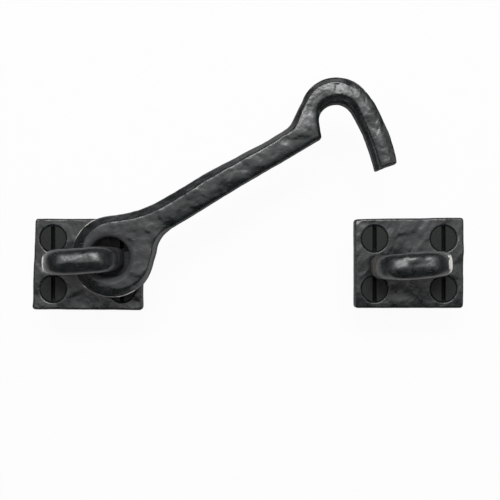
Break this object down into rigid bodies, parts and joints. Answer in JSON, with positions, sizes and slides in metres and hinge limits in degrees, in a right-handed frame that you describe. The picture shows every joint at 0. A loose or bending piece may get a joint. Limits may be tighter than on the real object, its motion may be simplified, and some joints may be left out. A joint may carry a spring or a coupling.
{
  "type": "cabin hook",
  "caption": "Black hammered iron cabin hook: a gooseneck hook swings by its eye on a staple plate and drops into the staple of a separate keep plate, both screwed on.",
  "frame": {"origin": "middle of the hook plate's back face, on the surface the plate is screwed to", "axes": "+X from the hook plate to the keep plate, +Y up the door, +Z out of the plates"},
  "size_m": [0.1298, 0.0687, 0.0334],
  "materials": {
    "forged_hook": "black satin coating over hammered iron",
    "plates": "black satin coating over hammered iron",
    "staples": "black satin coating over hammered iron, worn at one foot",
    "screws": "black japanned, matt"
  },
  "bodies": {
    "plates": {"hook_plate": "plates", "hook_plate_screws": "screws", "hook_staple": "staples", "keep_plate": "plates", "keep_plate_screws": "screws", "keep_staple": "staples"},
    "hook": {"hook": "forged_hook"}
  },
  "joints": [
    {"name": "hook_swing", "type": "hinge", "parent": "plates", "child": "hook", "pos_m": [0.00873, 0.00156, 0.008], "axis": [0, 0, 1], "range_deg": [-33, 90]}
  ]
}
